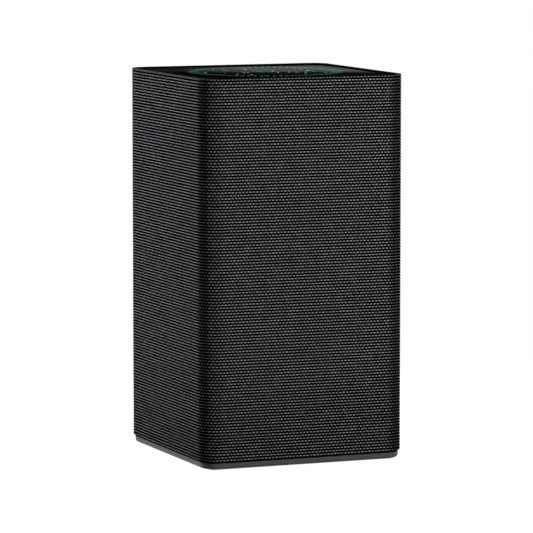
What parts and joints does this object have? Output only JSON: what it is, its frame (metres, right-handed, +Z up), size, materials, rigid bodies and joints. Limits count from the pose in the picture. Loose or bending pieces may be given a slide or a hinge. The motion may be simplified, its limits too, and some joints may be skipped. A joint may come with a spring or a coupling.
{
  "type": "mesh wifi node",
  "caption": "Square fabric-covered wifi tower on a low plinth, with a recessed gloss lid, radial light slots, rear network sockets, power inlet and push buttons.",
  "frame": {"origin": "middle of the footprint, on the surface that the feet stand on", "axes": "+Z up, the plain front faces -Y, the rear ports face +Y, +X is to the right seen from the front"},
  "size_m": [0.112, 0.112, 0.2],
  "materials": {
    "knit_cloth": "coarse knitted polyester",
    "shell_plastic": "moulded, fine grain",
    "satin_black_plastic": "satin",
    "gloss_black_plastic": "polished",
    "teal_light_guide": "tinted translucent",
    "foot_rubber": "matte",
    "label_film": "printed film, blank",
    "zinc_screw": "zinc plated",
    "circuit_board": "solder mask",
    "led_lens": "clear resin",
    "ribbon_film": "polyester film",
    "chassis_plastic": "moulded",
    "fan_plastic": "moulded",
    "bearing_bronze": "sintered",
    "motor_core": "laminated core",
    "lead_sheath": "smooth",
    "chip_epoxy": "moulded epoxy",
    "thermal_pad": "soft",
    "capacitor_sleeve": "shrink sleeve",
    "cast_aluminium": "cast, anodised",
    "white_nylon": "moulded",
    "gold_plate": "gold plated",
    "jack_plastic": "moulded",
    "nickel_plate": "nickel plated",
    "button_plastic": "semi-gloss",
    "antenna_board": "solder mask"
  },
  "bodies": {
    "tower": {"antenna_1": "antenna_board", "antenna_2": "antenna_board", "antenna_3": "antenna_board", "antenna_4": "antenna_board", "antenna_connectors": "gold_plate", "antenna_leads": "lead_sheath", "base_plinth": "satin_black_plastic", "base_screws": "zinc_screw", "board_screws": "zinc_screw", "cable_connectors": "white_nylon", "capacitors": "capacitor_sleeve", "chassis": "chassis_plastic", "ethernet_contacts": "gold_plate", "ethernet_jack_1": "nickel_plate", "ethernet_jack_2": "nickel_plate", "ethernet_jack_3": "nickel_plate", "ethernet_jack_4": "nickel_plate", "fabric_sleeve": "knit_cloth", "fan_bearing": "bearing_bronze", "fan_frame": "fan_plastic", "fan_lead": "lead_sheath", "fan_screws": "zinc_screw", "fan_stator": "motor_core", "foot_front_left": "foot_rubber", "foot_front_right": "foot_rubber", "foot_rear_left": "foot_rubber", "foot_rear_right": "foot_rubber", "heatsink": "cast_aluminium", "heatsink_screws": "zinc_screw", "housing_shell": "shell_plastic", "inner_light_ring": "teal_light_guide", "led_board": "circuit_board", "led_board_screws": "zinc_screw", "led_ribbon": "ribbon_film", "leds": "led_lens", "main_board": "circuit_board", "memory_chips": "chip_epoxy", "outer_light_ring": "teal_light_guide", "port_panel": "satin_black_plastic", "power_jack": "jack_plastic", "power_jack_pin": "nickel_plate", "power_switch": "jack_plastic", "processor": "chip_epoxy", "processor_thermal_pad": "thermal_pad", "radio_chip_1": "chip_epoxy", "radio_chip_2": "chip_epoxy", "radio_chip_3": "chip_epoxy", "radio_thermal_pads": "thermal_pad", "rating_label": "label_film", "reset_switch": "jack_plastic", "sync_switch": "jack_plastic", "top_cover": "gloss_black_plastic", "top_rim": "satin_black_plastic"},
    "fan_rotor": {"fan_rotor": "fan_plastic"},
    "power_button": {"power_button": "button_plastic"},
    "sync_button": {"sync_button": "button_plastic", "sync_plunger": "button_plastic"},
    "reset_plunger": {"reset_plunger": "button_plastic"}
  },
  "joints": [
    {"name": "fan_spin", "type": "hinge", "parent": "tower", "child": "fan_rotor", "pos_m": [0, 0, 0.1802], "axis": [0, 0, 1], "continuous": true},
    {"name": "power_press", "type": "slide", "parent": "tower", "child": "power_button", "axis": [0, -1, 0], "range_m": [0, 0.0015], "stiffness_N_per_m": 1700},
    {"name": "sync_press", "type": "slide", "parent": "tower", "child": "sync_button", "axis": [0, -1, 0], "range_m": [0, 0.0006], "stiffness_N_per_m": 2600},
    {"name": "reset_press", "type": "slide", "parent": "tower", "child": "reset_plunger", "axis": [0, -1, 0], "range_m": [0, 0.0003], "stiffness_N_per_m": 5300}
  ]
}
